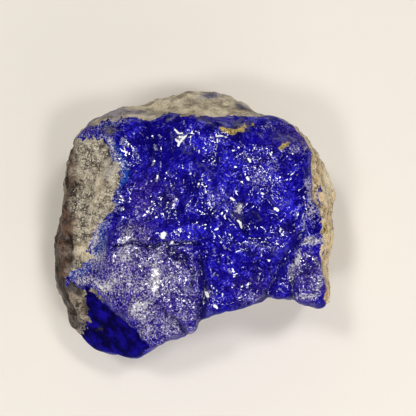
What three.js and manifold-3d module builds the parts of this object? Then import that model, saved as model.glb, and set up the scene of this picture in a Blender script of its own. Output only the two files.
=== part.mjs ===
// A hand-sized block of lapis lazuli broken out of its marble, as one solid of one stone.
// Its blue face is a fresh break. Behind it the block widens into pale matrix: a granular shoulder on the
// left, a ridge along the top and a thin rind on the right. It lies on a flat joint face at the back.
import * as THREE from "three";
import { mergeVertices } from "three/addons/utils/BufferGeometryUtils.js";
import Module from "manifold-3d";

// Driving dimensions, in millimetres and degrees. The outlines, breaks, swells, chips and ledges below are
// drawn in units of UNIT millimetres, so UNIT sets the real size of the whole stone. They are drawn in the
// frame of its blue face: X runs across the face, Y up the face and Z out of it. The face lies near Z = 0.
const UNIT = 0.9; // millimetres to one unit of the drawing
const FACE_TILT = 12; // how far the blue face leans towards its lower edge when the stone lies on its back
const THICKNESS = 33.3; // from the joint face to the middle of the blue face, square to the joint face
const FULL_WIDTH_DEPTH = 17.1; // how far behind the face the matrix reaches its full outline
const EDGE_ROUNDING = 0.99; // how softly two broken faces meet
const MESH_DETAIL = 20; // each edge of the starting icosahedron is cut into one more piece than this
const CORE = new THREE.Vector3(0, 0, -17); // a point that sees the whole surface of the stone
const HALF_SIZE = new THREE.Vector3(33, 30, 22); // rough half size, to spread the mesh evenly over the stone

// The edge of the blue face, anticlockwise from the right. The notch and the lobe are at its lower right.
const FACE_OUTLINE = [
  [30, 1], [28.8, 6.5], [27.9, 11.5], [27.4, 16.5], [25.6, 21.4], [20.9, 24.7], [15.5, 25.9],
  [9.5, 25.4], [5.1, 25.6], [-3.7, 26.8], [-14, 26.9], [-18.6, 26.5], [-24.9, 23.7], [-28.6, 19],
  [-29.2, 10], [-29.6, 0], [-30, -8], [-29.1, -15], [-27.2, -20], [-26.7, -26.2], [-21.6, -29.7],
  [-14.8, -31.2], [-10.7, -29.5], [-5.1, -26.9], [-1.2, -26], [0.8, -24.7], [1.4, -22.4],
  [5.4, -20.1], [11.8, -18.3], [17.9, -16.4], [21.9, -17], [25, -18.9], [29.1, -19.5], [30.5, -17.8],
  [29.3, -12], [29, -9.5], [30.3, -4],
];

// The outline of the matrix behind the face, at its widest, anticlockwise from the right.
const MATRIX_OUTLINE = [
  [33.5, 4.2], [32.7, 11], [29.9, 17.1], [26.8, 22.6], [20.4, 25.6], [15.1, 26.8], [12.5, 28.4],
  [10, 30.4], [5.3, 32], [-2.4, 32], [-9.1, 29.8], [-14.6, 28], [-20.2, 26.8], [-26.8, 25],
  [-30.8, 20], [-31.4, 12.2], [-32.2, 3.9], [-34, -3.6], [-33.8, -10.3], [-33.8, -15.8],
  [-31.2, -22.8], [-28.4, -28.6], [-22.2, -32.1], [-15.2, -32.8], [-8.8, -29.6], [-1.2, -25.6],
  [5, -20.2], [13.8, -17], [22, -17.4], [29, -19.4], [33.2, -19.2], [32.4, -15.5], [30.9, -11.6],
  [32.7, -6.4],
];

// Flat breaks that take off the corners. Each lies on three points of the stone, and keeps the core.
const BREAKS = {
  leftShoulder: [[-17.5, 20, -0.2], [-18.5, -10, -0.4], [-29.5, 2, -6.6]],
  lowerLeftFacet: [[-24.4, -14, -3.6], [-10.3, -29.4, -1.4], [-24, -28.4, -11.5]],
  upperRightBevel: [[7, 23.2, -0.3], [25.4, 16.6, -1.2], [18.1, 25.4, -6.2]],
  upperLeftRim: [[-20, 24.2, -1.6], [-6, 24.6, -0.4], [-13, 27.6, -6.6]],
  rightRim: [[27, 12, -1], [29.4, -8, -1.2], [32.2, 2, -6]],
  backOfRidge: [[-12, 33, -27], [8, 34.2, -29], [-2, 29, -44]],
  backRight: [[35.3, 6, -17], [34.4, -14, -19], [27, 0, -37]],
  backUpperRight: [[16, 29.5, -20], [33.5, 12.5, -20], [22, 20, -41]],
  backLeft: [[-35.6, -4, -20], [-33.5, 12, -23], [-29, 4, -40]],
  backUpperLeft: [[-31, 20.5, -22], [-16, 29.8, -24], [-23, 21, -42]],
  lowerLeftUndercut: [[-36, -20, -17], [-23.5, -33, -15], [-25, -22, -35]],
  lowerUndercut: [[-14, -33.2, -12], [32, -21, -12], [5, -19, -35]],
  lowerRightUndercut: [[25, -21.6, -12], [35, -16, -14], [26, -13.5, -36]],
};

// Swells (+) and hollows (-) of the blue face: where they are, how far they reach and how high they stand.
const FACE_SWELLS = [
  { at: [4, 15], reach: [10, 8], height: 0.7 },
  { at: [-9, 13], reach: [4, 10], height: -1.1 },
  { at: [-13, -11], reach: [9, 8], height: 0.9 },
  { at: [-5, -6], reach: [5, 2.6], height: -1.3 },
  { at: [9, -9], reach: [6, 5], height: -0.8 },
  { at: [10, 3], reach: [4, 6], height: -0.6 },
  { at: [18, 9], reach: [7, 7], height: 0.7 },
  { at: [19, -11], reach: [4, 5], height: -1 },
  { at: [27, -13], reach: [4, 5], height: 1 },
  { at: [2, -17], reach: [3, 4], height: 0.6 },
];

// How the broken surface chips: the size of the chips and how far they stand in or out.
const CHIPS = [
  { size: 13, depth: 1.5, seed: 3 },
  { size: 6.5, depth: 0.9, seed: 8 },
];
const FACET_CHIPPING = 0.15; // share of that depth on the lower left facet, a clean flat joint
const FACET_BAND = 2.5; // the chips come in over this distance from the facet
const CHIP_BEVEL = 0.05; // how gently one chip passes into the next, as a share of its size

// Ledges of the matrix, which breaks along its bedding. Each starts this far below the blue face and steps
// out (+) or in (-). The bedding is a little out of parallel with the face.
const LEDGES = [
  { below: 6.5, out: 0.4 },
  { below: 9.2, out: -0.5 },
  { below: 12.4, out: 0.4 },
  { below: 17, out: -0.7 },
  { below: 19.6, out: 0.5 },
  { below: 24.5, out: 0.6 },
  { below: 29, out: -1 },
  { below: 33.4, out: 0.7 },
];
const LEDGE_SLOPE = 1.3; // height over which a ledge steps
const BEDDING = new THREE.Vector3(0.1, 0.22, 1); // square to the bedding
const STONE = new THREE.MeshStandardMaterial({ color: 0x2a2396, roughness: 0.5, metalness: 0 });

// A closed outline as a function: the distance from the middle to the outline in a direction.
function outlineRadius(corners) {
  const points = corners.map(([x, y]) => new THREE.Vector3(x, y, 0));
  const smooth = new THREE.CatmullRomCurve3(points, true, "centripetal").getPoints(1440);
  const steps = 720;
  const radii = new Float64Array(steps);
  for (let i = 0; i + 1 < smooth.length; i++) {
    const from = Math.atan2(smooth[i].y, smooth[i].x);
    let to = Math.atan2(smooth[i + 1].y, smooth[i + 1].x);
    if (to < from - Math.PI) to += 2 * Math.PI;
    const first = Math.ceil((from / (2 * Math.PI)) * steps);
    const last = Math.floor((to / (2 * Math.PI)) * steps);
    for (let step = first; step <= last; step++) {
      radii[(step + steps) % steps] = smooth[i].length();
    }
  }
  return (angle) => {
    const place = ((angle / (2 * Math.PI) + 1) % 1) * steps;
    const before = Math.floor(place) % steps;
    const after = (before + 1) % steps;
    return THREE.MathUtils.lerp(radii[before], radii[after], place - Math.floor(place));
  };
}

// A plane through three points, facing away from the core.
function breakPlane(points) {
  const corners = points.map((point) => new THREE.Vector3(...point));
  const plane = new THREE.Plane().setFromCoplanarPoints(...corners);
  return plane.distanceToPoint(CORE) > 0 ? plane.negate() : plane;
}

// The greater of two distances, rounded off where they are nearly equal.
function roundedMax(a, b, rounding) {
  const overlap = Math.max(rounding - Math.abs(a - b), 0) / rounding;
  return Math.max(a, b) + overlap * overlap * rounding * 0.25;
}

// A repeatable random number from 0 to 1 for a cell of space.
function cellRandom(x, y, z, seed) {
  let bits = Math.imul(x, 374761393) ^ Math.imul(y, 668265263) ^ Math.imul(z, 2147483647);
  bits = Math.imul(bits ^ Math.imul(seed, 974634777), 1274126177);
  bits = Math.imul(bits ^ (bits >>> 15), 2246822519);
  return ((bits ^ (bits >>> 13)) >>> 0) / 4294967296;
}

// Chipping: space is shared out between scattered points, and each share is a flat chip with its own tilt.
// Where two shares meet, one chip passes into the next over a narrow bevel.
function chipping(point, { size, depth, seed }) {
  const cell = point.clone().divideScalar(size).floor();
  const offset = new THREE.Vector3();
  const chips = [];
  for (let n = 0; n < 27; n++) {
    const x = cell.x + (n % 3) - 1;
    const y = cell.y + (Math.floor(n / 3) % 3) - 1;
    const z = cell.z + Math.floor(n / 9) - 1;
    const random = (which) => cellRandom(x, y, z, seed + which);
    offset.set(x + random(0), y + random(1), z + random(2)).multiplyScalar(size).sub(point);
    const tilt = new THREE.Vector3(random(3) - 0.5, random(4) - 0.5, random(5) - 0.5);
    const height = depth * (random(6) - 0.5 + (2 * offset.dot(tilt)) / size);
    chips.push({ away: offset.length(), height });
  }
  const nearest = Math.min(...chips.map((chip) => chip.away));
  let total = 0;
  let height = 0;
  for (const chip of chips) {
    const share = Math.exp((nearest - chip.away) / (CHIP_BEVEL * size));
    total += share;
    height += share * chip.height;
  }
  return height / total;
}

// How strongly the stone is chipped at a point of its surface: fully, except on the lower left facet.
function chipStrength(point) {
  const fromFacet = Math.abs(facetPlane.distanceToPoint(point));
  return THREE.MathUtils.lerp(FACET_CHIPPING, 1, THREE.MathUtils.smoothstep(fromFacet, 0, FACET_BAND));
}

// How far the ledges stand out. They fade towards the lower side, which is broken across the bedding.
function bedding(point) {
  const below = -BEDDING.dot(point);
  const inMatrix = THREE.MathUtils.smoothstep(point.y, -20, -8);
  let height = 0;
  for (const ledge of LEDGES) {
    height += ledge.out * THREE.MathUtils.smoothstep(below, ledge.below, ledge.below + LEDGE_SLOPE);
  }
  return inMatrix * height;
}

// Height of the blue face at a place on it.
function faceHeight(x, y) {
  let height = -0.0012 * (x * x + y * y);
  for (const { at, reach, height: swell } of FACE_SWELLS) {
    const away = ((x - at[0]) / reach[0]) ** 2 + ((y - at[1]) / reach[1]) ** 2;
    height += swell * Math.exp(-away);
  }
  return height;
}

const faceRadius = outlineRadius(FACE_OUTLINE);
const matrixRadius = outlineRadius(MATRIX_OUTLINE);
const breakPlanes = Object.values(BREAKS).map(breakPlane);
const facetPlane = breakPlane(BREAKS.lowerLeftFacet);

// How far a point is outside the smooth form of the stone. It is below zero inside.
function outsideStone(point) {
  const angle = Math.atan2(point.y, point.x);
  const widened = THREE.MathUtils.smoothstep(-point.z, 1, FULL_WIDTH_DEPTH / UNIT);
  const radius = THREE.MathUtils.lerp(faceRadius(angle), matrixRadius(angle), widened);
  let outside = Math.hypot(point.x, point.y) - radius;
  outside = roundedMax(outside, point.z - faceHeight(point.x, point.y), EDGE_ROUNDING / UNIT);
  for (const plane of breakPlanes) {
    outside = roundedMax(outside, plane.distanceToPoint(point), EDGE_ROUNDING / UNIT);
  }
  return outside;
}

// The point where a ray from the core leaves the stone.
function surfacePoint(direction) {
  let inside = 0;
  let beyond = 80;
  for (let halving = 0; halving < 30; halving++) {
    const middle = (inside + beyond) / 2;
    const point = CORE.clone().addScaledVector(direction, middle);
    if (outsideStone(point) < 0) inside = middle;
    else beyond = middle;
  }
  return CORE.clone().addScaledVector(direction, inside);
}

// The chipped stone before its joint face is made: an icosahedron's vertices pushed out to the surface.
function chippedStone() {
  const ball = new THREE.IcosahedronGeometry(1, MESH_DETAIL);
  ball.deleteAttribute("normal");
  ball.deleteAttribute("uv");
  const stone = mergeVertices(ball, 1e-5);
  const places = stone.getAttribute("position");
  for (let i = 0; i < places.count; i++) {
    const direction = new THREE.Vector3().fromBufferAttribute(places, i).multiply(HALF_SIZE).normalize();
    const point = surfacePoint(direction);
    const chipped = CHIPS.reduce((sum, chip) => sum + chipping(point, chip), 0);
    point.addScaledVector(direction, chipStrength(point) * chipped + bedding(point));
    places.setXYZ(i, point.x, point.y, point.z);
  }
  return stone;
}

const wasm = await Module();
wasm.setup();

function toSolid(geometry) {
  return new wasm.Manifold(
    new wasm.Mesh({
      numProp: 3,
      vertProperties: new Float32Array(geometry.getAttribute("position").array),
      triVerts: new Uint32Array(geometry.index.array),
    }),
  );
}

function toGeometry(solid) {
  const { vertProperties, triVerts } = solid.getMesh();
  return new THREE.BufferGeometry()
    .setAttribute("position", new THREE.BufferAttribute(vertProperties, 3))
    .setIndex(new THREE.BufferAttribute(triVerts, 1));
}

// The stone laid on its back, with everything below the joint face cut away and the origin under its middle,
// in millimetres.
function layOnJointFace(stone) {
  stone.rotateX(THREE.MathUtils.degToRad(FACE_TILT));
  stone.translate(0, 0, THICKNESS / UNIT);
  const size = 200;
  const above = new THREE.BoxGeometry(size, size, size).translate(0, 0, size / 2);
  above.deleteAttribute("normal");
  above.deleteAttribute("uv");
  const laid = toGeometry(toSolid(stone).intersect(toSolid(mergeVertices(above))));
  laid.scale(UNIT, UNIT, UNIT);
  laid.computeVertexNormals();
  return laid;
}

const block = new THREE.Mesh(layOnJointFace(chippedStone()), STONE);
block.name = "lapis_block";

const specimen = new THREE.Group();
specimen.add(block);
export default specimen;
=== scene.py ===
"""A hand-sized block of lapis lazuli with its pale marble, lying on its flat joint face, blue side up."""
import math

import bmesh
import bpy
import numpy as np
from mathutils import Matrix, Vector


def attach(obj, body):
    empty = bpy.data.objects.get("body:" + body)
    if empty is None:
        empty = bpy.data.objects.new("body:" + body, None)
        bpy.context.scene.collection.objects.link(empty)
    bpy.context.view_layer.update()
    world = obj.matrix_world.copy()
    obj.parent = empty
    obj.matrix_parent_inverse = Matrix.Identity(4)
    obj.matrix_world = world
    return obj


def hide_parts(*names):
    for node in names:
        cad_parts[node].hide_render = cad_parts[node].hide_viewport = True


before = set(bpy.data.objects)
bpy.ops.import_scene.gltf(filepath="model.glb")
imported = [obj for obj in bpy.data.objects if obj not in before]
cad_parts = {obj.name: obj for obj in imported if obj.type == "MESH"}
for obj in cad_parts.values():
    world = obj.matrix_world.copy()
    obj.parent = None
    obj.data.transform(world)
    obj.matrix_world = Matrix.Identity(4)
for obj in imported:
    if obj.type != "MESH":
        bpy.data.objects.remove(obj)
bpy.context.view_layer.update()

# ---------------------------------------------------------------------------------------------------------
# The block. One natural piece: lazurite, calcite and pyrite grown in marble, broken out by hammer and wetted.
# Its blue face is a fresh, glassy, hackly break; the marble round it is dull and granular. The mesh starts
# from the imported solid, is made even and fine, and is then chipped grain by grain.

UNIT = 0.0009  # metres to one unit of the drawing, the unit of every size below unless it says otherwise
FACE_TILT = math.radians(12)  # the blue face leans this far forward from level
FACE_HEIGHT = 0.0333 / UNIT  # from the joint face to the middle of the blue face, 33.3 mm
CORE = np.array([0, 0, -17])  # in the face's frame: the inner point that sees the whole surface
HALF_SIZE = np.array([33, 30, 22])
SKIN_PITCH = 0.58  # between mesh points on the sides and back; the blue face gets half of this

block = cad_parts["lapis_block"].copy()
block.data = block.data.copy()
block.name = "lapis_specimen"
bpy.context.scene.collection.objects.link(block)


def edit_mesh(piece, change):
    """Opens the piece's mesh as a bmesh, changes it and puts it back."""
    mesh = bmesh.new()
    mesh.from_mesh(piece.data)
    change(mesh)
    mesh.to_mesh(piece.data)
    mesh.free()


def bake_modifiers(piece):
    """Turns the piece and its modifiers into a plain mesh."""
    finished = bpy.data.meshes.new_from_object(piece.evaluated_get(bpy.context.evaluated_depsgraph_get()))
    piece.modifiers.clear()
    piece.data = finished


WELD_DISTANCE = 0.001
edit_mesh(block, lambda mesh: bmesh.ops.remove_doubles(mesh, verts=mesh.verts, dist=WELD_DISTANCE * UNIT))
smoothing = block.modifiers.new("smoothing", "SUBSURF")
smoothing.levels = smoothing.render_levels = 1
even_skin = block.modifiers.new("even_skin", "REMESH")
even_skin.mode = "VOXEL"
even_skin.voxel_size = SKIN_PITCH * UNIT
bake_modifiers(block)


def on_face(points):
    """Points in metres, in the row's frame, as units in the blue face's own frame: X across it, Y up it and
    Z out of it."""
    x, y, z = points.T / UNIT
    z = z - FACE_HEIGHT
    cos, sin = math.cos(FACE_TILT), math.sin(FACE_TILT)
    return np.stack([x, y * cos + z * sin, z * cos - y * sin], 1)


def vertex_places(mesh):
    places = np.empty(len(mesh.vertices) * 3, np.float32)
    mesh.vertices.foreach_get("co", places)
    return places.reshape(-1, 3).astype(float)


REFINED_DEPTH = 11  # the blue face is refined this far down its edges
REFINED_SLOPE = 0.55  # and where it faces outward at least this much, of 1


def refine_blue_face(mesh):
    """Halves the mesh pitch on the faces that look out of the blue face."""
    outward = Vector((0, -math.sin(FACE_TILT), math.cos(FACE_TILT)))
    middle = Vector((0, 0, FACE_HEIGHT * UNIT))
    chosen = []
    for face in mesh.faces:
        depth = outward.dot(face.calc_center_median() - middle) / UNIT
        if depth > -REFINED_DEPTH and face.normal.dot(outward) > REFINED_SLOPE:
            chosen.append(face)
    edges = list({edge for face in chosen for edge in face.edges})
    bmesh.ops.subdivide_edges(mesh, edges=edges, cuts=1, use_grid_fill=True)


edit_mesh(block, refine_blue_face)


def scatter(cells, seed):
    """A repeatable random number from 0 to 1 for each whole-number cell. Its long numbers only mix bits."""
    bits = cells.astype(np.int64) @ np.array([374761393, 668265263, 2147483647]) + seed * 974634777
    bits = (bits ^ (bits >> 13)) * 1274126177 & 0xFFFFFFFF
    bits = (bits ^ (bits >> 15)) * 2246822519 & 0xFFFFFFFF
    return (bits ^ (bits >> 13)) / 4294967296


def cloud(points, size, seed, octaves=2):
    """Soft noise from about -1 to 1, with lumps of that size."""
    total = np.zeros(len(points))
    for octave in range(octaves):
        place = points * 2**octave / size + seed * 17.3
        cell = np.floor(place)
        part = place - cell
        part = part * part * (3 - 2 * part)
        value = np.zeros(len(points))
        for corner in np.ndindex(2, 2, 2):
            share = np.prod(np.where(corner, part, 1 - part), axis=1)
            value += share * scatter(cell + corner, seed + octave)
        total += (2 * value - 1) / 2**octave
    return total


def chips(points, size, seed, bevel=0.05):
    """Flat chips of that size, each with its own height and tilt, from about -1 to 1."""
    cell = np.floor(points / size)
    found = []
    for step in np.ndindex(3, 3, 3):
        near = cell + np.array(step) - 1
        centre = near + np.stack([scatter(near, seed + axis) for axis in range(3)], 1)
        tilt = np.stack([scatter(near, seed + 3 + axis) for axis in range(3)], 1) - 0.5
        offset = centre - points / size
        height = scatter(near, seed + 6) - 0.5 + 2 * (offset * tilt).sum(1)
        found.append((np.linalg.norm(offset, axis=1), height))
    away = np.array([distance for distance, _ in found])
    heights = np.array([height for _, height in found])
    share = np.exp((away.min(0) - away) / bevel)
    return (share * heights).sum(0) / share.sum(0)


def step_up(value, low, high):
    part = np.clip((value - low) / (high - low), 0, 1)
    return part * part * (3 - 2 * part)


def inside(points, outline):
    """How far each point is inside an outline drawn on the face. Below zero outside."""
    place = points[:, :2]
    corners = np.array(outline, float)
    nearest = np.full(len(place), np.inf)
    within = np.zeros(len(place), bool)
    for start, end in zip(corners, np.roll(corners, -1, axis=0)):
        edge = end - start
        along = np.clip((place - start) @ edge / (edge @ edge), 0, 1)
        nearest = np.minimum(nearest, np.linalg.norm(place - start - along[:, None] * edge, axis=1))
        crosses = (start[1] > place[:, 1]) != (end[1] > place[:, 1])
        rise = edge[1] if edge[1] else 1e-9
        within ^= crosses & (place[:, 0] < start[0] + edge[0] * (place[:, 1] - start[1]) / rise)
    return np.where(within, nearest, -nearest)


places = vertex_places(block.data)
normals = np.empty(len(places) * 3, np.float32)
block.data.vertices.foreach_get("normal", normals)
normals = normals.reshape(-1, 3)
out_of_face = np.array([0, -math.sin(FACE_TILT), math.cos(FACE_TILT)])
steep = 1 - step_up(normals @ out_of_face, 0.3, 0.75)
here = on_face(places)
depth = -here[:, 2]
# Marks are drawn as they look from this eye point, so one that lies deeper is drawn nearer to the middle.
EYE = (3.02, 3.95, 300)  # in the face's frame
drawn = here.copy()
drawn[:, :2] = EYE[:2] + (here[:, :2] - EYE[:2]) * (EYE[2] / (EYE[2] + depth))[:, None]
RAGGEDNESS = 1.1  # how far the borders of the marks wander
ragged = drawn + np.stack([cloud(here, 5, seed, 3) for seed in (1, 2, 3)], 1) * RAGGEDNESS


def patches(points, spots):
    """Adds up soft spots drawn on the face, each a place, its reach across and up, and how strong it is."""
    total = np.zeros(len(points))
    for at, reach, amount in spots:
        away = (points[:, :2] - at) / reach
        total += amount * np.exp(-(away * away).sum(1) * 1.5)
    return total


def from_line(points, path):
    """How far each point is from a line drawn on the face."""
    nearest = np.full(len(points), np.inf)
    corners = np.array(path, float)
    for start, end in zip(corners[:-1], corners[1:]):
        edge = end - start
        along = np.clip((points[:, :2] - start) @ edge / (edge @ edge), 0, 1)
        nearest = np.minimum(nearest, np.linalg.norm(points[:, :2] - start - along[:, None] * edge, axis=1))
    return nearest


# Where the stone is blue. The outline runs off the lower side, which is blue nearly down to the floor.
BLUE = [
    (29.2, 3), (28.9, 6), (28.2, 11), (27.2, 15), (27, 18.6), (25.4, 21.6), (21.5, 25), (18, 27.5), (13, 28),
    (9, 26.4), (3, 25.6), (-6, 25.8), (-14, 25), (-19, 24.6), (-25, 23.6), (-29.5, 20.6), (-26, 20.5),
    (-22.1, 20.2), (-20.7, 18.1), (-20.3, 15.8), (-18.6, 13.5), (-17.8, 10.5), (-17.6, 7.7), (-18.6, 5.8),
    (-19.8, 3.5), (-22.1, 0.7), (-24, -1.9), (-24.9, -5.1), (-24, -7), (-26, -8.6), (-28.1, -9.8),
    (-29.6, -12.3), (-28.1, -13.7), (-23.7, -15), (-21.6, -17.2), (-24.9, -15.7), (-25.3, -17.4), (-26, -21),
    (-25, -23.6), (-25.6, -25.6), (-27.6, -26.6), (-32, -32), (-32, -60), (45, -60), (45, -24), (31.6, -19.5),
    (30.9, -16), (30.4, -12), (30.2, -9.5), (30.2, -5), (29.8, -3.4), (28.6, -2), (29, 0),
]
# The slate blue nose on the ridge, just above the blue face.
NOSE = [(8.6, 27.4), (9.4, 31), (12, 31.4), (14.6, 29.4), (15.4, 27)]
border = inside(ragged, BLUE)
blue = step_up(border + 0.7 * cloud(here, 1.1, 9), -0.5, 0.6)
blue *= 1 - step_up(depth + 2.5 * cloud(here, 9, 14), 27, 30)
blue *= 1 - step_up(here[:, 1] + depth * 0.55 - 2.5 * cloud(here, 8, 15), 28, 30)
on_right = step_up(normals[:, 0] + 0.2 * cloud(here, 5, 16, 3), 0.42, 0.62) * step_up(here[:, 0], 20, 24)
blue *= 1 - on_right * step_up(depth + 1.2 * cloud(here, 3, 17), 2.5, 4.5)
matrix = 1 - blue

# The smooth navy facet at the lower left: the blue skin that lies on this joint plane.
FACET_PLANE = np.array([(-24.4, -14, -3.6), (-10.3, -29.4, -1.4), (-24, -28.4, -11.5)])
FACET = [
    (-25.6, -13.7), (-23.7, -14.2), (-21.6, -17.4), (-19.8, -19.3), (-17, -21.4), (-14, -24),
    (-12.4, -25.8), (-10.4, -28.1), (-9, -40), (-40, -40), (-27, -24), (-25.6, -18),
]
square_out = np.cross(FACET_PLANE[1] - FACET_PLANE[0], FACET_PLANE[2] - FACET_PLANE[0])
from_plane = np.abs((here - FACET_PLANE[0]) @ square_out) / np.linalg.norm(square_out)
facet = step_up(inside(drawn, FACET) + 0.4 * cloud(here, 1.5, 21), -0.1, 0.5)
facet *= 1 - step_up(from_plane + 0.4 * cloud(here, 2.5, 22), 1, 1.6)

# Veils of lilac and white calcite, thickest at the lower left, along the shoulder and round the right lobe.
# Where the blue glitters, they also carry a painted sheen of pale lilac round the flashes.
PALE = [
    (-16.3, 0), (-10.5, -0.7), (-10.5, -3.5), (0, -5.8), (1.9, -8.6), (1.9, -17.4), (1.2, -26),
    (-8, -28.4), (-11, -28.1), (-14, -24), (-19.8, -18.6), (-22.6, -15.6), (-26.7, -13.5),
    (-28.1, -10.9), (-23.3, -8.6), (-20.9, -5.8),
]
pale_zone = step_up(inside(ragged, PALE), -2, 3)
fringe = np.exp(-(((border - 0.8) / 1.7) ** 2)) * step_up(-here[:, 0], 14, 18) * step_up(here[:, 1], -14, -11)
on_side = step_up(depth, 8, 11)
patchy = on_side * (0.8 * step_up(cloud(here, 9, 19, 3), 0.1, 0.8) - 0.1)
calcite_and_sheen = 0.42 * fringe + patchy + (1 - on_side) * (0.38 * pale_zone + patches(ragged, [
    ((-9.6, -12.6), (1.6, 3.6), 0.45), ((-16.5, -4.5), (2, 3), 0.5), ((-16.5, -8), (2.4, 1.8), 0.5),
    ((-14, -18.8), (2.4, 1.8), 0.35), ((-20.5, -14), (2.4, 1.5), 0.6), ((-17.4, -12), (3, 2), 0.35),
    ((-11.6, -21), (3, 3), 0.4), ((-13.4, -14), (3.2, 3), 0.3), ((-11, 4), (4, 7), 0.15),
    ((-19, -15.4), (2, 1.6), 0.25), ((-4, -18.5), (3, 3.4), -0.25), ((26, -7.4), (2.6, 1.8), 0.3),
    ((-14.6, -1), (3, 3), 0.3), ((-23.6, -1.5), (2, 4), 0.35), ((-23, -7), (2, 2), 0.2),
    ((-26.5, -12), (3, 1.4), 0.3), ((26.8, 4), (2, 4.4), 0.5), ((26.6, -4.4), (3.4, 1.6), 0.6),
    ((23, -9.5), (1.1, 3.6), 0.4), ((28.8, -14), (1.3, 4.4), 0.3), ((26, -17), (3, 1.4), 0.35),
    ((16.5, 11.7), (4, 4), 0.2), ((7, 14.5), (3, 4), 0.2), ((5.5, 7), (4, 4), 0.15),
    ((10.4, 3.8), (1.1, 1.7), 1.6), ((19, 14), (1.1, 1.2), 0.5), ((16.2, 22.6), (1.8, 1), 0.7),
    ((20.5, 24), (3, 1), 0.45), ((22.4, 17.2), (1.3, 1.5), 0.6), ((25, 18), (1.4, 1.4), 0.6),
    ((-4.9, 5.8), (1.2, 1.6), 0.5), ((12.6, -15.8), (3.6, 2.6), 0.35), ((-19.5, 18), (1.6, 1.8), 0.15),
    ((-4, 20.6), (1.5, 1.9), 0.45), ((0.5, -3), (1.6, 1.2), 0.3), ((2.7, -16), (0.8, 1.4), 0.6),
]))
for path, width, amount in [
    ([(26.4, 11), (27.6, 7), (29, 3)], 1.2, 0.5), ([(25.6, 4), (24.6, 0), (24.4, -3)], 0.8, 0.4),
    ([(30.4, -3.4), (26.4, -3.4), (23.6, -5.4), (22.9, -9.3), (23.9, -13)], 0.9, 0.6),
    ([(28.8, -8), (29, -13), (28.4, -16.6), (24.4, -17.4)], 0.8, 0.4),
    ([(-21.6, 4), (-23.4, -1), (-22.4, -7)], 1.7, 0.2), ([(-20.4, 20), (-18.4, 16), (-17.4, 12)], 0.9, 0.35),
    ([(-29, -12.4), (-25, -12), (-21, -14.4)], 1, 0.3), ([(-9.2, -9), (-9.6, -12), (-9, -15.6)], 0.8, 0.4),
    ([(-10.6, -17), (-13, -18.4), (-14.4, -20)], 0.8, 0.3),
]:
    away = from_line(ragged, path) / width
    calcite_and_sheen += amount * np.exp(-away * away)
lower_edge = step_up(depth, 3, 5) * step_up(-here[:, 1], 14, 18)
calcite_and_sheen = np.clip(calcite_and_sheen * (1 - facet) * (1 - 0.7 * lower_edge), 0, 1)

# Where tiny broken faces glitter. Between these clusters the break is smooth and dark.
glitter = 0.02 + 0.35 * on_side + (0.1 + 0.35 * on_side) * cloud(here, 3.2, 17)
glitter += (1 - on_side) * patches(drawn, [
    ((-3.5, 20.4), (2, 2), 1.5), ((0.5, 22.5), (2.5, 1.5), 0.8), ((-1.5, 17.5), (1.5, 1.5), 0.6),
    ((6, 21), (2.5, 1.8), 1.1), ((3.5, 17), (1.8, 3), 0.8), ((12, 15.5), (2.5, 1.5), 0.9),
    ((15, 17.5), (2, 1.5), 0.7), ((14.5, 11), (2.6, 2.8), 1.3), ((17, 8), (2, 2), 0.8),
    ((20.5, 5), (1.8, 2.4), 0.9), ((20, 9.6), (2, 2), 0.4), ((19, 18.5), (2.5, 2), 0.6),
    ((12.2, 23.5), (1.5, 1), 0.7), ((26, 8), (1.5, 3), 0.6), ((5, 6), (3.5, 3), 0.8),
    ((8.6, 5), (2, 2), 0.4), ((2, 4), (1, 4), 0.4), ((10, 1), (2, 2), 0.6), ((2.5, 11), (2, 3), 0.6),
    ((-13.6, 16.5), (1.3, 2.6), 0.7), ((-18.4, 17.4), (1.4, 2), 0.2), ((-16.4, 14.4), (2, 1.2), 0.7),
    ((-15.4, 7), (1.3, 4.6), 0.3), ((-6, 12), (1.8, 2), 0.4), ((-9.6, 4), (2.2, 3), 0.3),
    ((-4.6, 3), (2.2, 3.4), 0.5), ((-7.4, -2.6), (1.3, 1.3), 1), ((-5, -4.4), (2.6, 2), 1.3),
    ((-8, -6), (3, 2), 0.8), ((-2.4, -2), (2, 2), 0.6), ((0.5, -11.5), (1.9, 1.6), 0.7),
    ((-4, -10), (3, 4), 0.4), ((6.5, -3.2), (2, 1.2), 0.9), ((13, -5), (3, 2), 0.9),
    ((17.4, -5), (3, 2), 0.9), ((21.4, -2), (2, 1), 0.5), ((18.6, -12), (1.5, 1.5), 1),
    ((24, -8), (3, 2), 0.4), ((26, -12), (3, 3), 1), ((22, -13), (1.6, 2), 0.6),
    ((25.4, -16), (2.6, 1.6), 0.7), ((4.2, -16.6), (2, 2), 1.1), ((11, -12.5), (2, 2), 0.1),
    ((13, -17), (4, 1.4), 0.4), ((-6, -14), (2.6, 4), 0.7), ((-2.6, -16), (2, 3), 0.5),
    ((-14, -21), (2.6, 2), 0.7), ((-12, -25), (2.6, 2), 1.4), ((-5.4, -23.6), (3.6, 2.6), 1.5),
    ((-2, -20), (2, 2), 0.8), ((-20, -13.4), (3, 2), 0.5), ((-17, 3.5), (2, 4), -0.5),
    ((-9, 16), (2.8, 7), -0.5), ((-16, -4), (3, 4), 0.3), ((-12, -8), (2, 3), 0.4),
])
hackly = np.clip(0.5 + 0.6 * glitter, 0.12, 1.1) * (1 - 0.85 * facet)
glitter = np.clip(glitter * (1 - 0.9 * facet), 0.02, 1.1)
# Painted sheen: pale lilac is added where the blue glitters, partly calcite on scuffed grains and partly the
# sheen round the flashes.
calcite_and_sheen = np.clip(calcite_and_sheen + 0.24 * glitter - 0.03, 0, 1)

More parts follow.
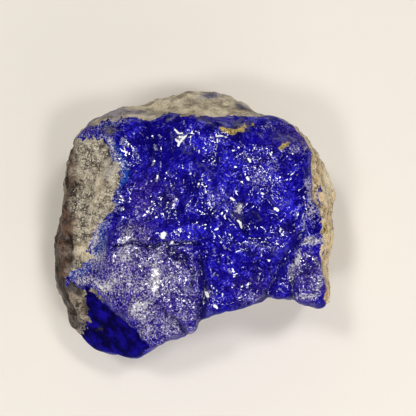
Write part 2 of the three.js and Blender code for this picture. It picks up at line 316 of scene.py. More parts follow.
# Where the blue leans to violet, to a clear royal blue, and to a lighter cobalt.
violet = 0.14 + 0.6 * on_side * cloud(here, 6, 18) + (1 - on_side) * (0.45 * pale_zone + patches(ragged, [
    ((-12, 6), (4, 6), 0.7), ((-14, -2), (5, 5), 0.5), ((-12, -10), (9, 7), 0.5), ((-10, -20), (9, 7), 0.6),
    ((-6.5, 7), (3, 5), 0.35), ((13, -15), (7, 5), 0.5), ((27, -12), (5, 8), 0.8), ((24, 21), (6, 5), 0.7),
    ((16, 12), (5, 5), 0.3), ((-26, 22.4), (3, 1.4), 1), ((20, -3), (4, 4), 0.2),
]))
violet = np.clip(violet, 0, 1)
royal = np.clip(patches(ragged, [
    ((21, 5), (2.8, 3.4), 1), ((-0.6, -2.4), (3.6, 2.4), 0.9), ((7.6, 14), (3, 3), 0.7),
    ((5, 8), (4, 4), 0.5), ((17, 12), (4, 4), 0.5), ((2, 19), (3, 2.4), 0.5), ((11, -1.5), (4, 2.4), 0.5),
    ((20, -6), (3, 2), 0.4), ((-14, 22), (3, 2), 0.4), ((7, -10), (4, 4), 0.3), ((-19, -24), (3, 2), 0.5),
]), 0, 1)
cobalt = np.clip(0.6 * fringe + patches(ragged, [
    ((-16.8, 12), (2.4, 4.6), 1), ((-19, 17.5), (2.4, 3), 0.8), ((-4.4, 17.6), (2, 2.6), 0.35),
    ((-27, -10.4), (3.6, 1.9), 1), ((-22.4, -3), (2, 5), 0.9), ((27.6, 9), (1.6, 5), 0.5),
    ((16.5, -6), (2, 1.6), 0.4), ((-1.5, 20.4), (3, 2), 0.4), ((4.6, -2), (1.6, 1), 0.5),
]), 0, 1)

# Streaks of pyrite, and painted glints: small pure white marks in the blue for the brightest flashes of
# light. Each is a line and its half width.
gold, painted_glint = np.zeros(len(here)), np.zeros(len(here))
for path, width in [
    ([(6.2, 22.3), (8.4, 22), (10.8, 22.2)], 0.5), ([(10.2, 22.3), (11.5, 23.2), (13.6, 23.2)], 0.36),
    ([(19.9, 17.9), (21.4, 18.7)], 0.5), ([(13, 18.7), (13.3, 18.3)], 0.2),
    ([(23.3, 11.9), (23.6, 11.6)], 0.1), ([(30.2, 1.2), (30.5, -1.4)], 0.4),
]:
    inward = width - from_line(drawn, path) + 0.55 * cloud(here, 1.3, 4, 3)
    gold = np.maximum(gold, step_up(inward, -0.1, 0.15))
for path, width in [
    ([(-7.5, -2.6), (-7.3, -2.1)], 0.6), ([(-5.4, -4.3), (-5.2, -4)], 0.3), ([(4.6, -18.7), (5, -19)], 0.35),
    ([(-4.8, 22.2), (-4, 21.4), (-2.9, 21.3)], 0.22), ([(-4.7, 19.9), (-3.8, 19.2), (-4, 18.5)], 0.3),
    ([(-3.8, 19.2), (-2.1, 20.7)], 0.25), ([(-3.8, 20.5), (-2.8, 20.5)], 0.2),
    ([(4.9, 21.2), (5.3, 19.2)], 0.15), ([(5.2, 20.8), (7.4, 20.5)], 0.15),
    ([(10, 1), (10.6, 0.5), (10.9, -0.6)], 0.25), ([(18.6, 3.9), (19.2, 3.4)], 0.3),
    ([(15.5, 7.5), (15.8, 7.2)], 0.25), ([(12.1, 11), (12.4, 10.6)], 0.35), ([(8.4, 6.3), (9, 5.7)], 0.25),
    ([(12.4, 15.4), (12.9, 14.7)], 0.25), ([(2.5, 7.9), (2.6, 7.5)], 0.2),
    ([(2.7, -15.8), (3, -16.6)], 0.35),
]:
    painted_glint = np.maximum(painted_glint, np.clip(1 - from_line(drawn, path) / (2 * width), 0, 1))
gold *= 1 - on_side
painted_glint *= 1 - on_side
olive = np.clip(patches(ragged, [
    ((-20.6, 22.3), (2.3, 2), 1), ((-21.6, -17.2), (1.6, 0.9), 1), ((-5.6, 4.6), (1.6, 1.2), 0.7),
    ((10.8, 3.2), (0.9, 0.7), 0.4), ((-15.6, 8.2), (1.2, 0.9), 0.5), ((23.6, -13.5), (1.2, 2.6), 0.5),
    ((-18.6, 8.6), (1.2, 3.6), 0.4), ((-21.8, 11), (2.6, 7), 0.5), ((-23, -24), (1.1, 0.9), 1),
    ((23.4, 14), (0.8, 1.4), 0.5),
]), 0, 1)

# The kinds of marble: grey on the left shoulder, brown on the left rim, tan on the right, beige above and
# behind. Cream and slate blue places lie in it.
tan = step_up(here[:, 0] - 0.2 * depth * (depth > 0) + 3 * cloud(here, 8, 31), 22, 30)
brown = step_up(-here[:, 0] + 1.6 * cloud(here, 4, 32), 26.4, 30.6)
LOWER_LEFT = [(-34, -9), (-29, -12), (-22, -16), (-22, -40), (-34, -40)]
brown = np.maximum(brown, 0.6 * step_up(inside(ragged, LOWER_LEFT), -1, 1))
brown *= 1 - 0.7 * step_up(depth + 7 * cloud(here, 8, 35, 3), 6, 22)
brown = np.maximum(brown, 0.3 * step_up(depth + 1.5 * cloud(here, 4, 36), 3, 7) * step_up(here[:, 0], 26, 30))
beige = step_up(here[:, 1] + 2 * cloud(here, 6, 33), 19, 24)
cream = np.clip(patches(ragged, [
    ((-25.6, -5.6), (2.4, 2), 1.3), ((-21.5, 9), (2, 5), 0.8), ((-24, -0.5), (1.6, 3), 0.4),
    ((30.4, 9), (1.6, 5), 0.9), ((30.6, 2), (1.2, 2), 0.5), ((29.4, 15), (1.2, 2), 0.6),
]), 0, 1)
BED_DIP = math.radians(28)  # the beds of the marble dip towards the back
BED_STRETCH, LAYER_STRETCH = 0.28, 0.18  # stains and layers are drawn out along the beds by one over this
beds_up = places / UNIT @ np.array(Matrix.Rotation(BED_DIP, 3, "X")).T
bedded = beds_up * (BED_STRETCH, BED_STRETCH, 1)
slate = np.clip(1.4 * cloud(bedded, 5, 34, 3) * on_side - 0.55, 0, 0.7)
nose = step_up(inside(ragged, NOSE), -0.5, 0.8) * (1 - step_up(depth, 13, 17))
slate = np.clip(slate + nose + patches(ragged, [
    ((-17, 25.6), (9, 1.3), 0.8), ((-26, 23.6), (3, 1.4), 0.6), ((3.6, 29.4), (3.4, 0.6), 1.2),
    ((-20.6, 12), (1.2, 5), 0.4), ((16, 26.4), (5, 0.9), 0.5), ((-22, -0.6), (1.8, 3), 0.3),
]), 0, 1)

# Folds of the blue face and of the left rim, each a line, its half width, its height and how much painted
# shade darkens it. A height below zero is a valley.
folds, painted_fold_shade = np.zeros(len(here)), np.zeros(len(here))
for path, width, height, shade in [
    ([(-9.6, 23), (-9.2, 15), (-8, 6)], 3.4, -0.5, 0.3),
    ([(1.4, -7), (2.1, -14), (1.2, -20), (1.6, -27)], 1, -0.8, 0.7),
    ([(4.2, -8), (6, -14), (5.4, -22)], 2, 0.5, 0),
    ([(24.4, -2.3), (20.9, -7), (18.6, -11.6), (17, -17)], 1.2, -0.8, 0.4),
    ([(10.5, -2.5), (15, -4), (19, -5)], 2, 0.5, 0),
    ([(-19.3, -4.9), (-15.1, -4.2), (-10.5, -5.1), (-7, -4.4), (-3.5, -4.9), (1.2, -4)], 0.45, -0.6, 1),
    ([(-6.2, -5.4), (-4.6, -7.2), (-2.4, -7.2)], 1, -0.7, 1),
    ([(13.4, 9), (12.4, 5), (14, 1)], 1.4, -0.6, 0.3),
    ([(-1, 15), (0, 9), (-1.6, 4)], 1.6, -0.6, 0.1),
    ([(22.6, -9), (23.4, -14), (23, -19)], 0.8, -0.5, 0.4),
    ([(9, 2.2), (10.6, 0.6), (11.4, -1)], 0.7, -0.6, 0.7),
    ([(-2.6, -8.4), (-0.4, -11), (-0.8, -14)], 0.5, -0.5, 0.9),
    ([(-6, -21), (-3.4, -23), (-2, -25.4)], 0.5, -0.5, 0.9),
    ([(-9.4, -17.6), (-7.4, -19.4), (-6.6, -22)], 0.4, -0.4, 0.7),
    ([(-31.4, -3), (-30.2, -8), (-29.4, -12.4), (-27.6, -17), (-26.4, -21), (-26.6, -25)], 0.9, 0.9, 0),
    ([(-29.6, -3), (-28.8, -6), (-29.4, -8.4), (-30.6, -7)], 0.5, -0.6, 0.8),
    ([(-28.4, -13.4), (-26.4, -17), (-25.6, -20)], 0.5, -0.5, 0.8),
    ([(-33, -4), (-31.4, -12), (-29, -18), (-27.6, -24)], 0.9, -0.8, 0.9),
    ([(-31.6, 12), (-32.2, 4), (-32, -2)], 0.8, -0.7, 0.7),
]:
    away = from_line((ragged + drawn) / 2, path) / width
    folds += height * np.exp(-away * away)
    painted_fold_shade = np.maximum(painted_fold_shade, shade * np.exp(-away * away))
# Painted shade: the calcite thins under the shade painted in the fold valleys, so the dark shows through.
calcite_and_sheen *= 1 - 0.8 * painted_fold_shade

# Chips and grains. The facet and the marble are smoother than the blue face.
relief = 0.62 * chips(here, 4.8, 40) + 0.24 * chips(here, 2.2, 50) + 0.08 * chips(here, 1.1, 60)
grains = (0.3 + 0.5 * brown * (here[:, 0] < 0)) * chips(here, 3.4, 70) + 0.16 * chips(here, 1.3, 80)
grains += 0.2 * cloud(bedded, 1.2, 90, 3)
raised = blue * hackly * relief + folds * step_up(-depth, -15, -9) + matrix * grains
RELIEF_FADE = (0.3, 1.2)  # the relief fades in between these heights, so the stone keeps its flat base
resting = step_up(places[:, 2] / UNIT, *RELIEF_FADE)
places += normals * (raised * resting)[:, None] * UNIT
places[:, 2] = np.maximum(places[:, 2], 0)
block.data.vertices.foreach_set("co", places.astype(np.float32).ravel())
block.data.update()
block.data.shade_smooth()

# Painted shade: darker in the fold valleys, on the low chips and steep sides of the blue, along its top band,
# and between the marble's grains. The slate nose is darkened here too, which is its own dark colour.
painted_shade_and_nose = painted_fold_shade + 0.6 * nose + blue * (0.12 * steep - 0.5 * relief + 0.8 * (here[:, 1] > 26.6)) - matrix * grains
for name, values in {
    "matrix": matrix, "calcite_and_sheen": calcite_and_sheen, "painted_glint": painted_glint, "glitter": glitter, "violet": violet,
    "royal": royal, "cobalt": cobalt, "gold": gold, "olive": olive, "tan": tan, "brown": brown,
    "beige": beige, "cream": cream, "slate": slate, "painted_shade_and_dark_nose": np.clip(painted_shade_and_nose, 0, 1),
}.items():
    layer = block.data.attributes.new(name, "FLOAT", "POINT")
    layer.data.foreach_set("value", values.astype(np.float32))


def linear(colour):
    """An sRGB hex colour as linear RGBA."""
    parts = [int(colour[i : i + 2], 16) / 255 for i in (1, 3, 5)]
    return [p / 12.92 if p <= 0.04045 else ((p + 0.055) / 1.055) ** 2.4 for p in parts] + [1]


def add_node(tree, kind, settings=None, **inputs):
    """Adds a node with its settings. Each input is named, or numbered as _0, and is a plain value, an sRGB
    hex colour, or the node or socket that it is linked from."""
    node = tree.nodes.new(kind)
    for name, value in (settings or {}).items():
        setattr(node, name, value)
    for name, value in inputs.items():
        wanted = name.replace("_", " ").strip()
        socket = node.inputs[int(wanted)] if wanted.isdigit() else next(
            one for one in node.inputs if one.enabled and one.name == wanted)
        if isinstance(value, bpy.types.Node):
            value = next(one for one in value.outputs if one.enabled)
        if isinstance(value, bpy.types.NodeSocket):
            tree.links.new(value, socket)
        else:
            socket.default_value = linear(value) if isinstance(value, str) else value
    return node


# The finish. Lazurite is a deep, saturated blue under a wet gloss, so each broken grain mirrors the lamps
# as a small white flash. Calcite veils it in lilac and white. The marble is dull, sandy and stained.
lapis = bpy.data.materials.new("wet_broken_lapis_in_marble")
lapis.use_nodes = True
tree = lapis.node_tree
tree.nodes.clear()
SMOOTH = {"interpolation_type": "SMOOTHSTEP"}
COLOURS = {"data_type": "RGBA"}
zone = {name: add_node(tree, "ShaderNodeAttribute", {"attribute_name": name}).outputs["Fac"] for name in (
    "matrix", "calcite_and_sheen", "painted_glint", "glitter", "violet", "royal", "cobalt", "gold", "olive", "tan", "brown",
    "beige", "cream", "slate", "painted_shade_and_dark_nose")}
coordinates = add_node(tree, "ShaderNodeTexCoord").outputs["Object"]
stir = add_node(tree, "ShaderNodeTexNoise", Vector=coordinates, Scale=1 / (0.9 * UNIT), Detail=2.0)
stir = add_node(tree, "ShaderNodeVectorMath", {"operation": "MULTIPLY_ADD"}, _0=stir.outputs["Color"],
                _1=(0.7 * UNIT,) * 3, _2=coordinates)
bend = add_node(tree, "ShaderNodeTexNoise", Vector=coordinates, Scale=1 / (3 * UNIT), Detail=3.0)
bent = add_node(tree, "ShaderNodeVectorMath", {"operation": "MULTIPLY_ADD"}, _0=bend.outputs["Color"],
                _1=(3 * UNIT,) * 3, _2=coordinates)
broken_grain = add_node(tree, "ShaderNodeTexVoronoi", Vector=stir, Scale=1 / (0.32 * UNIT))
grain_tone = add_node(tree, "ShaderNodeSeparateColor", Color=broken_grain.outputs["Color"])
broad = add_node(tree, "ShaderNodeTexNoise", Vector=coordinates, Scale=1 / (6 * UNIT), Detail=3.0)
middling = add_node(tree, "ShaderNodeTexNoise", Vector=coordinates, Scale=1 / (2 * UNIT), Detail=3.0)
fine = add_node(tree, "ShaderNodeTexNoise", Vector=coordinates, Scale=1 / (0.5 * UNIT), Detail=3.0,
                Roughness=0.75)
ripple = add_node(tree, "ShaderNodeTexNoise", Vector=coordinates, Scale=1 / (0.38 * UNIT), Detail=0.5)
along_beds = add_node(tree, "ShaderNodeVectorRotate", {"rotation_type": "X_AXIS"}, Vector=coordinates,
                      Angle=BED_DIP)
along_beds = add_node(tree, "ShaderNodeVectorMath", {"operation": "MULTIPLY"}, _0=along_beds,
                      _1=(LAYER_STRETCH, LAYER_STRETCH, 1))
beds = add_node(tree, "ShaderNodeTexNoise", Vector=along_beds, Scale=1 / (0.8 * UNIT), Detail=3.0,
                Roughness=0.6)

# Lazurite: navy and royal blue in random clouds, with violet and cobalt places, and painted shade that
# darkens it to navy in the hollows.
share = add_node(tree, "ShaderNodeMapRange", SMOOTH, Value=broad, From_Min=0.38, From_Max=0.62)
lazurite = add_node(tree, "ShaderNodeMix", COLOURS, Factor=share, A="#070363", B="#110998")
share = add_node(tree, "ShaderNodeMath", {"operation": "MULTIPLY_ADD"}, _0=fine, _1=0.9, _2=middling)
share = add_node(tree, "ShaderNodeMath", {"operation": "MULTIPLY_ADD"}, _0=zone["royal"], _1=0.36, _2=share)
share = add_node(tree, "ShaderNodeMapRange", SMOOTH, Value=share, From_Min=0.92, From_Max=1.18)
lazurite = add_node(tree, "ShaderNodeMix", COLOURS, Factor=share, A=lazurite, B="#2822CE")
share = add_node(tree, "ShaderNodeMapRange", SMOOTH, Value=grain_tone.outputs["Red"], From_Min=0.1,
                 From_Max=0.95)
purple = add_node(tree, "ShaderNodeMix", COLOURS, Factor=share, A="#1B0D6A", B="#5840A4")
share = add_node(tree, "ShaderNodeMath", {"operation": "MULTIPLY_ADD"}, _0=fine, _1=1.6, _2=-0.9)
share = add_node(tree, "ShaderNodeMath", {"operation": "ADD", "use_clamp": True}, _0=share, _1=zone["violet"])
lazurite = add_node(tree, "ShaderNodeMix", COLOURS, Factor=share, A=lazurite, B=purple)
share = add_node(tree, "ShaderNodeMath", {"operation": "MULTIPLY_ADD"}, _0=middling, _1=1.4, _2=-0.9)
share = add_node(tree, "ShaderNodeMath", {"operation": "ADD"}, _0=share, _1=zone["cobalt"])
share = add_node(tree, "ShaderNodeMapRange", SMOOTH, Value=share, From_Min=0.2, From_Max=0.9)
lazurite = add_node(tree, "ShaderNodeMix", COLOURS, Factor=share, A=lazurite, B="#1A46A8")
# Painted shade: the lazurite darkens to navy in the fold valleys, on the low chips and in steep places.
share = add_node(tree, "ShaderNodeMath", {"operation": "ADD"}, _0=zone["painted_shade_and_dark_nose"], _1=fine)
share = add_node(tree, "ShaderNodeMapRange", SMOOTH, Value=share, From_Min=0.55, From_Max=1.15, To_Max=0.85)
lazurite = add_node(tree, "ShaderNodeMix", COLOURS, Factor=share, A=lazurite, B="#060348")

crack = add_node(tree, "ShaderNodeTexVoronoi", {"feature": "DISTANCE_TO_EDGE"}, Vector=bent,
                 Scale=1 / (7 * UNIT))
crack = add_node(tree, "ShaderNodeMapRange", SMOOTH, Value=crack, From_Min=0.035, From_Max=0.0)
share = add_node(tree, "ShaderNodeMapRange", SMOOTH, Value=broad, From_Min=0.5, From_Max=0.56, To_Max=0.8)
crack = add_node(tree, "ShaderNodeMath", {"operation": "MULTIPLY"}, _0=crack, _1=share)
lazurite = add_node(tree, "ShaderNodeMix", COLOURS, Factor=crack, A=lazurite, B="#03021E")

# Calcite and the painted sheen round the flashes: lilac to white, in clouds that are broken up into fine
# curling threads.
threads = add_node(tree, "ShaderNodeTexNoise", Vector=coordinates, Scale=1 / (0.95 * UNIT), Detail=0.6)
threads = add_node(tree, "ShaderNodeMath", {"operation": "PINGPONG"}, _0=threads, _1=0.1)
threads = add_node(tree, "ShaderNodeMapRange", Value=threads, From_Max=0.1)
wisps = add_node(tree, "ShaderNodeMath", {"operation": "MULTIPLY_ADD"}, _0=threads, _1=0.4, _2=fine)
share = add_node(tree, "ShaderNodeMapRange", SMOOTH, Value=wisps, From_Min=0.5, From_Max=0.9)
lilac = add_node(tree, "ShaderNodeMix", COLOURS, Factor=share, A="#35257A", B="#B4ADC2")
share = add_node(tree, "ShaderNodeMath", {"operation": "MULTIPLY_ADD"}, _0=fine, _1=1.6, _2=zone["calcite_and_sheen"])
share = add_node(tree, "ShaderNodeMapRange", SMOOTH, Value=share, From_Min=1.35, From_Max=1.95)
lilac = add_node(tree, "ShaderNodeMix", COLOURS, Factor=share, A=lilac, B="#DEDADC")
share = add_node(tree, "ShaderNodeMath", {"operation": "MULTIPLY_ADD"}, _0=zone["calcite_and_sheen"], _1=0.8, _2=wisps)
share = add_node(tree, "ShaderNodeMath", {"operation": "MULTIPLY_ADD"}, _0=middling, _1=0.9, _2=share)
share = add_node(tree, "ShaderNodeMath", {"operation": "MULTIPLY_ADD"}, _0=grain_tone.outputs["Green"],
                 _1=0.3, _2=share)
share = add_node(tree, "ShaderNodeMapRange", SMOOTH, Value=share, From_Min=1.55, From_Max=1.97, To_Max=0.95)
lazurite = add_node(tree, "ShaderNodeMix", COLOURS, Factor=share, A=lazurite, B=lilac)

# Painted glints: a few small marks are pure white, for the brightest flashes of light on the wet break.
share = add_node(tree, "ShaderNodeMath", {"operation": "MULTIPLY_ADD"}, _0=fine, _1=0.8, _2=zone["painted_glint"])
painted_glint_white = add_node(tree, "ShaderNodeMapRange", SMOOTH, Value=share, From_Min=0.85, From_Max=1.0)

# Painted shade: dark lines run between the small lumps of the break, through lazurite and calcite alike,
# where the lumps would shade each other.
painted_crease_shade = add_node(tree, "ShaderNodeTexVoronoi", {"feature": "DISTANCE_TO_EDGE"}, Vector=stir,
                  Scale=1 / (1.3 * UNIT))
painted_crease_shade = add_node(tree, "ShaderNodeMath", {"operation": "MULTIPLY_ADD"}, _0=fine, _1=0.3, _2=painted_crease_shade)
painted_crease_shade = add_node(tree, "ShaderNodeMapRange", SMOOTH, Value=painted_crease_shade, From_Min=0.27, From_Max=0.12, To_Max=0.8)
lazurite = add_node(tree, "ShaderNodeMix", COLOURS, Factor=painted_crease_shade, A=lazurite, B="#0B0548")
lazurite = add_node(tree, "ShaderNodeMix", COLOURS, Factor=painted_glint_white, A=lazurite, B="#FFFFFF")

# Marble: sandy grain from dark grit to pale specks, layered along its beds, with slate blue stains.
sand_mass = add_node(tree, "ShaderNodeMath", {"operation": "MULTIPLY_ADD"}, _0=broad, _1=0.6, _2=middling)
sand = add_node(tree, "ShaderNodeMath", {"operation": "MULTIPLY_ADD"}, _0=fine, _1=1.0, _2=sand_mass)
sand = add_node(tree, "ShaderNodeMath", {"operation": "MULTIPLY_ADD"}, _0=grain_tone.outputs["Blue"], _1=0.2,
                _2=sand)
sand = add_node(tree, "ShaderNodeMath", {"operation": "MULTIPLY_ADD"}, _0=beds, _1=0.4, _2=sand)
sand = add_node(tree, "ShaderNodeMapRange", SMOOTH, Value=sand, From_Min=1.31, From_Max=1.89)
layers = add_node(tree, "ShaderNodeMath", {"operation": "MULTIPLY_ADD"}, _0=beds, _1=1.3, _2=sand_mass)
layers = add_node(tree, "ShaderNodeMath", {"operation": "MULTIPLY_ADD"}, _0=fine, _1=0.8, _2=layers)
layers = add_node(tree, "ShaderNodeMapRange", SMOOTH, Value=layers, From_Min=1.5, From_Max=2.2)
grey = add_node(tree, "ShaderNodeMix", COLOURS, Factor=sand, A="#3D332F", B="#C4B9A2")
speck = add_node(tree, "ShaderNodeMapRange", SMOOTH, Value=grain_tone.outputs["Red"], From_Min=0.82,
                 From_Max=0.97, To_Max=0.7)
grey = add_node(tree, "ShaderNodeMix", COLOURS, Factor=speck, A=grey, B="#F0E8D4")
beige_marble = add_node(tree, "ShaderNodeMix", COLOURS, Factor=layers, A="#857764", B="#DED1B4")
tan_marble = add_node(tree, "ShaderNodeMix", COLOURS, Factor=sand, A="#745424", B="#FFF0CC")
share = add_node(tree, "ShaderNodeMapRange", SMOOTH, Value=middling, From_Min=0.48, From_Max=0.62,
                 To_Max=0.55)
tan_marble = add_node(tree, "ShaderNodeMix", COLOURS, Factor=share, A=tan_marble, B="#C4923C")
brown_marble = add_node(tree, "ShaderNodeMix", COLOURS, Factor=sand, A="#1C130F", B="#6E5343")
cream_marble = add_node(tree, "ShaderNodeMix", COLOURS, Factor=sand, A="#A8967A", B="#F0E3C6")
slate_marble = add_node(tree, "ShaderNodeMix", COLOURS, Factor=sand, A="#24244C", B="#807D9A")
marble = add_node(tree, "ShaderNodeMix", COLOURS, Factor=zone["beige"], A=grey, B=beige_marble)
marble = add_node(tree, "ShaderNodeMix", COLOURS, Factor=zone["brown"], A=marble, B=brown_marble)
marble = add_node(tree, "ShaderNodeMix", COLOURS, Factor=zone["tan"], A=marble, B=tan_marble)
marble = add_node(tree, "ShaderNodeMix", COLOURS, Factor=zone["cream"], A=marble, B=cream_marble)
marble = add_node(tree, "ShaderNodeMix", COLOURS, Factor=zone["slate"], A=marble, B=slate_marble)

# Painted shade: the marble darkens to dark brown in its grooves and between its grains. The slate nose
# darkens with it, as its own colour.
share = add_node(tree, "ShaderNodeMath", {"operation": "MULTIPLY_ADD"}, _0=fine, _1=0.8, _2=zone["painted_shade_and_dark_nose"])
share = add_node(tree, "ShaderNodeMapRange", SMOOTH, Value=share, From_Min=0.45, From_Max=1.3, To_Max=0.8)
marble = add_node(tree, "ShaderNodeMix", COLOURS, Factor=share, A=marble, B="#2B221C")

# The border between the blue and the marble is sharp but frayed, grain by grain.
in_marble = add_node(tree, "ShaderNodeMath", {"operation": "MULTIPLY_ADD"}, _0=middling, _1=0.7,
                     _2=zone["matrix"])
in_marble = add_node(tree, "ShaderNodeMath", {"operation": "MULTIPLY_ADD"}, _0=fine, _1=0.9, _2=in_marble)
in_marble = add_node(tree, "ShaderNodeMapRange", SMOOTH, Value=in_marble, From_Min=1.2, From_Max=1.4)
colour = add_node(tree, "ShaderNodeMix", COLOURS, Factor=in_marble, A=lazurite, B=marble)
share = add_node(tree, "ShaderNodeMath", {"operation": "MULTIPLY_ADD"}, _0=fine, _1=1.5, _2=zone["olive"])
share = add_node(tree, "ShaderNodeMapRange", SMOOTH, Value=share, From_Min=1.0, From_Max=2.1, To_Max=0.9)
colour = add_node(tree, "ShaderNodeMix", COLOURS, Factor=share, A=colour, B="#68633F")
share = add_node(tree, "ShaderNodeMapRange", SMOOTH, Value=fine, From_Min=0.35, From_Max=0.65)
brassy = add_node(tree, "ShaderNodeMix", COLOURS, Factor=share, A="#4E3C18", B="#D2B872")
colour = add_node(tree, "ShaderNodeMix", COLOURS, Factor=zone["gold"], A=colour, B=brassy)

# Each broken grain leans its own way and the wet skin ripples over it, most where the blue glitters.
lean = add_node(tree, "ShaderNodeVectorMath", {"operation": "SUBTRACT"}, _0=broken_grain.outputs["Color"],
                _1=(0.5, 0.5, 0.5))
lean_by = add_node(tree, "ShaderNodeMath", {"operation": "MULTIPLY"}, _0=zone["glitter"], _1=0.56)
lean_by = add_node(tree, "ShaderNodeMix", {"data_type": "FLOAT"}, Factor=in_marble, A=lean_by, B=0.4)
lean = add_node(tree, "ShaderNodeVectorMath", {"operation": "SCALE"}, _0=lean, Scale=lean_by)
face_normal = add_node(tree, "ShaderNodeNewGeometry").outputs["Normal"]
lean = add_node(tree, "ShaderNodeVectorMath", {"operation": "ADD"}, _0=face_normal, _1=lean)
lean = add_node(tree, "ShaderNodeVectorMath", {"operation": "NORMALIZE"}, _0=lean)
wet = add_node(tree, "ShaderNodeMapRange", Value=zone["glitter"], From_Max=0.9, To_Min=0.1, To_Max=1.0)
wet = add_node(tree, "ShaderNodeMix", {"data_type": "FLOAT"}, Factor=in_marble, A=wet, B=0.8)
layered = add_node(tree, "ShaderNodeMath", {"operation": "MULTIPLY_ADD"}, _0=beds, _1=1.2, _2=fine)
skin = add_node(tree, "ShaderNodeMix", {"data_type": "FLOAT"}, Factor=in_marble, A=ripple, B=layered)
bump = add_node(tree, "ShaderNodeBump", Height=skin, Strength=wet, Distance=0.05 * UNIT, Normal=lean)
roughness = add_node(tree, "ShaderNodeMapRange", Value=in_marble, To_Min=0.08, To_Max=0.5)
surface = add_node(tree, "ShaderNodeBsdfPrincipled", Base_Color=colour, Roughness=roughness, IOR=1.55,
                   Normal=bump)
add_node(tree, "ShaderNodeOutputMaterial", Surface=surface)

# The steep sides of the block are the same stone, but handled and dull. Between the glittering clusters the
# wet skin is thin, so it hardly flashes.
handled, thinly_wetted = lapis.copy(), lapis.copy()
for finish, name, polish, gloss in (
    (handled, "handled_lapis_in_marble", 0.42, 0.06), (thinly_wetted, "thinly_wetted_lapis", 0.08, 0.08),
):
    finish.name = name
    finish.node_tree.nodes[roughness.name].inputs["To Min"].default_value = polish
    finish.node_tree.nodes[surface.name].inputs["Specular IOR Level"].default_value = gloss

# The facet is an older, smooth joint face: plain navy with a dull waxy skin that hardly mirrors anything.
navy_skin = bpy.data.materials.new("waxy_navy_lazurite")
navy_skin.use_nodes = True
tree = navy_skin.node_tree
tree.nodes.clear()
coordinates = add_node(tree, "ShaderNodeTexCoord").outputs["Object"]
clouds = add_node(tree, "ShaderNodeTexNoise", Vector=coordinates, Scale=1 / (3 * UNIT), Detail=4.0,
                  Roughness=0.6)
share = add_node(tree, "ShaderNodeMapRange", SMOOTH, Value=clouds, From_Min=0.42, From_Max=0.68)
navy = add_node(tree, "ShaderNodeMix", COLOURS, Factor=share, A="#050239", B="#160C8E")
grit = add_node(tree, "ShaderNodeTexNoise", Vector=coordinates, Scale=1 / (0.7 * UNIT), Detail=3.0)
stain = add_node(tree, "ShaderNodeAttribute", {"attribute_name": "olive"}).outputs["Fac"]
stain = add_node(tree, "ShaderNodeMath", {"operation": "MULTIPLY_ADD"}, _0=grit, _1=1.8, _2=stain)
stain = add_node(tree, "ShaderNodeMapRange", SMOOTH, Value=stain, From_Min=1.45, From_Max=1.8, To_Max=0.8)
navy = add_node(tree, "ShaderNodeMix", COLOURS, Factor=stain, A=navy, B="#35331F")
bump = add_node(tree, "ShaderNodeBump", Height=clouds, Distance=0.2 * UNIT)
surface = add_node(tree, "ShaderNodeBsdfPrincipled", Base_Color=navy, Roughness=0.5, Specular_IOR_Level=0.01,
                   Normal=bump)
add_node(tree, "ShaderNodeOutputMaterial", Surface=surface)

# A cube map round the inner point lays the skin out flat for baking, with the blue face largest.
corners = np.empty(len(block.data.loops), np.int32)
block.data.loops.foreach_get("vertex_index", corners)
counts = np.empty(len(block.data.polygons), np.int32)
block.data.polygons.foreach_get("loop_total", counts)
reach = (on_face(places) - CORE) / HALF_SIZE
polygon_of_corner = np.repeat(np.arange(len(counts)), counts)
middles = np.zeros((len(counts), 3))
np.add.at(middles, polygon_of_corner, reach[corners])
axis = np.abs(middles).argmax(1)
side = 2 * axis + (np.take_along_axis(middles, axis[:, None], 1)[:, 0] > 0)
axis, side = axis[polygon_of_corner], side[polygon_of_corner]
across = np.take_along_axis(reach[corners], np.array([[1, 2], [2, 0], [0, 1]])[axis], 1)
across /= np.abs(np.take_along_axis(reach[corners], axis[:, None], 1))
CHARTS = np.array([  # the lower left corner and the width of each of the six sides, the blue face last
    (0.67, 0, 0.32), (0.67, 0.33, 0.32), (0.67, 0.66, 0.32),
    (0, 0.67, 0.32), (0.33, 0.67, 0.32), (0, 0, 0.65),
])
CHART_SCALE, CHART_LIMIT = 0.47, 1.06  # these leave a thin margin round each side
flat = 0.5 + CHART_SCALE * np.clip(across, -CHART_LIMIT, CHART_LIMIT)
flat = CHARTS[side, :2] + flat * CHARTS[side, 2:]
block.data.uv_layers.new(name="OFBake").data.foreach_set("uv", flat.astype(np.float32).ravel())

block.data.materials.clear()
for finish in (lapis, navy_skin, handled, thinly_wetted):
    block.data.materials.append(finish)
quiet = glitter + 0.2 * cloud(here, 1.1, 23) < 0.1
slots = np.select([facet * blue > 0.5, steep > 0.6, quiet], [1, 2, 3], 0)
slots = slots[corners[np.cumsum(counts) - 1]]
block.data.polygons.foreach_set("material_index", slots.astype(np.int32))

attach(block, "root")
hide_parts("lapis_block")

# ---------------------------------------------------------------------------------------------------------
# The floor: a plain pale studio sweep, lit evenly so that it runs into the background.

floor_disc = bpy.data.meshes.new("floor")
FLOOR_RADIUS, FLOOR_SIDES = 2.7, 96  # the radius is in metres
angles = [2 * math.pi * i / FLOOR_SIDES for i in range(FLOOR_SIDES)]
ring = [(FLOOR_RADIUS * math.cos(angle), FLOOR_RADIUS * math.sin(angle), 0) for angle in angles]
floor_disc.from_pydata(ring, [], [range(FLOOR_SIDES)])
floor = bpy.data.objects.new("floor", floor_disc)
bpy.context.scene.collection.objects.link(floor)
paper = bpy.data.materials.new("matt_warm_white_card")
paper.use_nodes = True
paper.node_tree.nodes.clear()
card = add_node(paper.node_tree, "ShaderNodeBsdfPrincipled", Base_Color="#F2EBE0", Roughness=0.9)
add_node(paper.node_tree, "ShaderNodeOutputMaterial", Surface=card)
floor_disc.materials.append(paper)

# ---------------------------------------------------------------------------------------------------------
# Light: four small bright lamps high up, which the wet grains flash back, and two broad ones low down for
# the sides. The broad ones are kept out of the reflections, so the wet blue stays clear.

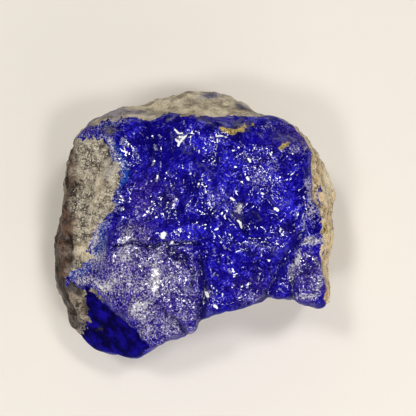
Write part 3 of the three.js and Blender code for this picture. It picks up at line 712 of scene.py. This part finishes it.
BROAD = 45  # degrees: a lamp that spreads wider than this is a broad one
for name, azimuth, elevation, spread, strength in (
    ("near right", 40, 62, 9, 0.7),
    ("far right", 110, 72, 9, 0.65),
    ("far left", 251, 72, 9, 0.65),
    ("near left", 326, 59, 9, 0.61),
    ("low left", 255, 24, 120, 0.24),
    ("low right", 130, 26, 120, 0.24),
):
    lamp = bpy.data.lights.new(name, "SUN")
    lamp.angle = math.radians(spread)
    lamp.energy = strength
    holder = bpy.data.objects.new(name, lamp)
    holder.visible_glossy = spread < BROAD
    turn = Matrix.Rotation(math.radians(azimuth), 4, "Z")
    holder.matrix_world = turn @ Matrix.Rotation(math.radians(90 - elevation), 4, "X")
    bpy.context.scene.collection.objects.link(holder)

# A soft box close by at the front right, so the floor falls off gently towards the back.
SOFT_BOX_WIDTH, SOFT_BOX_DISTANCE = 250, 350
SOFT_BOX_TURN, SOFT_BOX_LEAN = math.radians(28), math.radians(58)
soft_box = bpy.data.lights.new("soft box", "AREA")
soft_box.size = SOFT_BOX_WIDTH * UNIT
soft_box.energy = 0.243  # watts
holder = bpy.data.objects.new("soft box", soft_box)
holder.visible_glossy = holder.visible_camera = False
aim = Matrix.Rotation(SOFT_BOX_TURN, 4, "Z") @ Matrix.Rotation(SOFT_BOX_LEAN, 4, "X")
holder.matrix_world = aim @ Matrix.Translation((0, 0, SOFT_BOX_DISTANCE * UNIT))
bpy.context.scene.collection.objects.link(holder)

# The walls of the studio are pale and its ceiling is dark, so the wet blue stays deep seen from above.
world = bpy.data.worlds.new("pale_walls_and_dark_ceiling")
world.use_nodes = True
tree = world.node_tree
tree.nodes.clear()
direction = add_node(tree, "ShaderNodeTexCoord").outputs["Generated"]
height = add_node(tree, "ShaderNodeSeparateXYZ", Vector=direction).outputs["Z"]
glow = add_node(tree, "ShaderNodeMapRange", SMOOTH, Value=height, From_Min=0.12, From_Max=0.4, To_Min=0.85,
                To_Max=0.03)
walls = add_node(tree, "ShaderNodeBackground", Color="#F2EBE0", Strength=glow)
add_node(tree, "ShaderNodeOutputWorld", Surface=walls)
bpy.context.scene.world = world

# ---------------------------------------------------------------------------------------------------------
# The camera looks straight at the blue face from the eye point.

FOCAL_PIXELS, PICTURE_PIXELS = 1290, 416
view = bpy.data.cameras.new("camera")
view.sensor_width = 36
view.lens = FOCAL_PIXELS / PICTURE_PIXELS * view.sensor_width
view.clip_start, view.clip_end = 0.01, 20  # metres
camera = bpy.data.objects.new("camera", view)
to_row = Matrix.Translation((0, 0, FACE_HEIGHT * UNIT)) @ Matrix.Rotation(FACE_TILT, 4, "X")
camera.matrix_world = to_row @ Matrix.Translation(Vector(EYE) * UNIT)
bpy.context.scene.collection.objects.link(camera)
bpy.context.scene.camera = camera
bpy.context.scene.view_settings.view_transform = "Standard"
